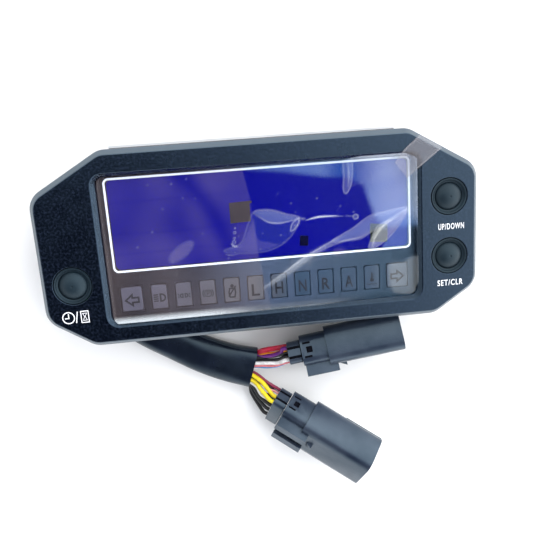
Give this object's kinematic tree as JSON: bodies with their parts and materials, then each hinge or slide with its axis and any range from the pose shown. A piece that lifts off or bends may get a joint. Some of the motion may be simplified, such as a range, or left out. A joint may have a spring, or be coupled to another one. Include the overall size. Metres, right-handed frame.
{
  "type": "instrument cluster",
  "caption": "Flat octagonal instrument cluster lying on its back, with a display window, a row of indicator tiles, push buttons and a sleeved harness ending in sealed connectors.",
  "frame": {"origin": "under the middle of the display unit, on the plane its rear mounting bosses stand on", "axes": "+X along the display unit's longest side, to the right as it is read; +Y towards its top edge; +Z out of the display face"},
  "size_m": [0.184, 0.1671, 0.0398],
  "materials": {
    "bezel_plastic": "fine-textured moulded black plastic",
    "clear_lens": "clear smoked acrylic",
    "clear_film": "thin clear peel-off film",
    "mask_print": "dark printed sheet",
    "lcd_glass": "deep blue liquid crystal panel",
    "backlight_acrylic": "white-backed light guide",
    "contact_rubber": "striped conductive rubber",
    "light_box_plastic": "white moulded plastic",
    "tile_diffuser": "grey translucent diffuser",
    "board_laminate": "green solder resist on glass laminate",
    "chip_resin": "black moulded resin",
    "capacitor_can": "bright can",
    "header_nylon": "natural nylon",
    "zinc_steel": "zinc plated",
    "black_zinc_steel": "black zinc plated steel",
    "insert_brass": "knurled, machined",
    "switch_plastic": "black switch body",
    "plunger_plastic": "red switch plunger",
    "button_rubber": "soft matte silicone rubber",
    "housing_plastic": "moulded black plastic",
    "breather_plastic": "grey vent plug",
    "gasket_rubber": "closed-cell foam",
    "grommet_rubber": "ribbed moulded rubber",
    "sleeve_vinyl": "soft satin vinyl tube",
    "wire_insulation": "thin wires in several colours",
    "connector_plastic": "moulded black nylon",
    "seal_silicone": "orange silicone",
    "tinned_brass": "tin-plated blades",
    "lock_plastic": "grey nylon"
  },
  "bodies": {
    "root": {"front_bezel": "bezel_plastic", "window_lens": "clear_lens", "mask_plate": "mask_print", "protective_film": "clear_film", "film_pull_tab": "clear_film", "lcd_panel": "lcd_glass", "lcd_backlight": "backlight_acrylic", "lcd_contact_strip": "contact_rubber", "indicator_light_box": "light_box_plastic", "indicator_tile_strip": "tile_diffuser", "circuit_board": "board_laminate", "microcontroller": "chip_resin", "voltage_regulator": "chip_resin", "power_capacitor": "capacitor_can", "harness_header": "header_nylon", "back_housing": "housing_plastic", "breather_plug": "breather_plastic", "case_gasket": "gasket_rubber", "cable_grommet": "grommet_rubber", "harness_sleeve": "sleeve_vinyl", "wires_rear": "wire_insulation", "wires_front": "wire_insulation", "board_screw_1": "zinc_steel", "threaded_insert_1": "insert_brass", "board_screw_2": "zinc_steel", "threaded_insert_2": "insert_brass", "board_screw_3": "zinc_steel", "threaded_insert_3": "insert_brass", "board_screw_4": "zinc_steel", "threaded_insert_4": "insert_brass", "case_screw_1": "black_zinc_steel", "case_screw_2": "black_zinc_steel", "case_screw_3": "black_zinc_steel", "case_screw_4": "black_zinc_steel", "case_screw_5": "black_zinc_steel", "case_screw_6": "black_zinc_steel", "switch_left": "switch_plastic", "boot_left": "button_rubber", "switch_upper_right": "switch_plastic", "boot_upper_right": "button_rubber", "switch_lower_right": "switch_plastic", "boot_lower_right": "button_rubber", "rear_connector_housing": "connector_plastic", "rear_connector_cap": "connector_plastic", "rear_connector_seal": "seal_silicone", "rear_connector_blades": "tinned_brass", "rear_connector_lock": "lock_plastic", "front_connector_housing": "connector_plastic", "front_connector_cap": "connector_plastic", "front_connector_seal": "seal_silicone", "front_connector_blades": "tinned_brass", "front_connector_lock": "lock_plastic"},
    "button_left": {"button_left": "button_rubber", "plunger_left": "plunger_plastic"},
    "button_upper_right": {"button_upper_right": "button_rubber", "plunger_upper_right": "plunger_plastic"},
    "button_lower_right": {"button_lower_right": "button_rubber", "plunger_lower_right": "plunger_plastic"}
  },
  "joints": [
    {"name": "press_left", "type": "slide", "parent": "root", "child": "button_left", "axis": [0, 0, -1], "range_m": [0, 0.0008], "stiffness_N_per_m": 2500},
    {"name": "press_upper_right", "type": "slide", "parent": "root", "child": "button_upper_right", "axis": [0, 0, -1], "range_m": [0, 0.0008], "stiffness_N_per_m": 2500},
    {"name": "press_lower_right", "type": "slide", "parent": "root", "child": "button_lower_right", "axis": [0, 0, -1], "range_m": [0, 0.0008], "stiffness_N_per_m": 2500}
  ]
}
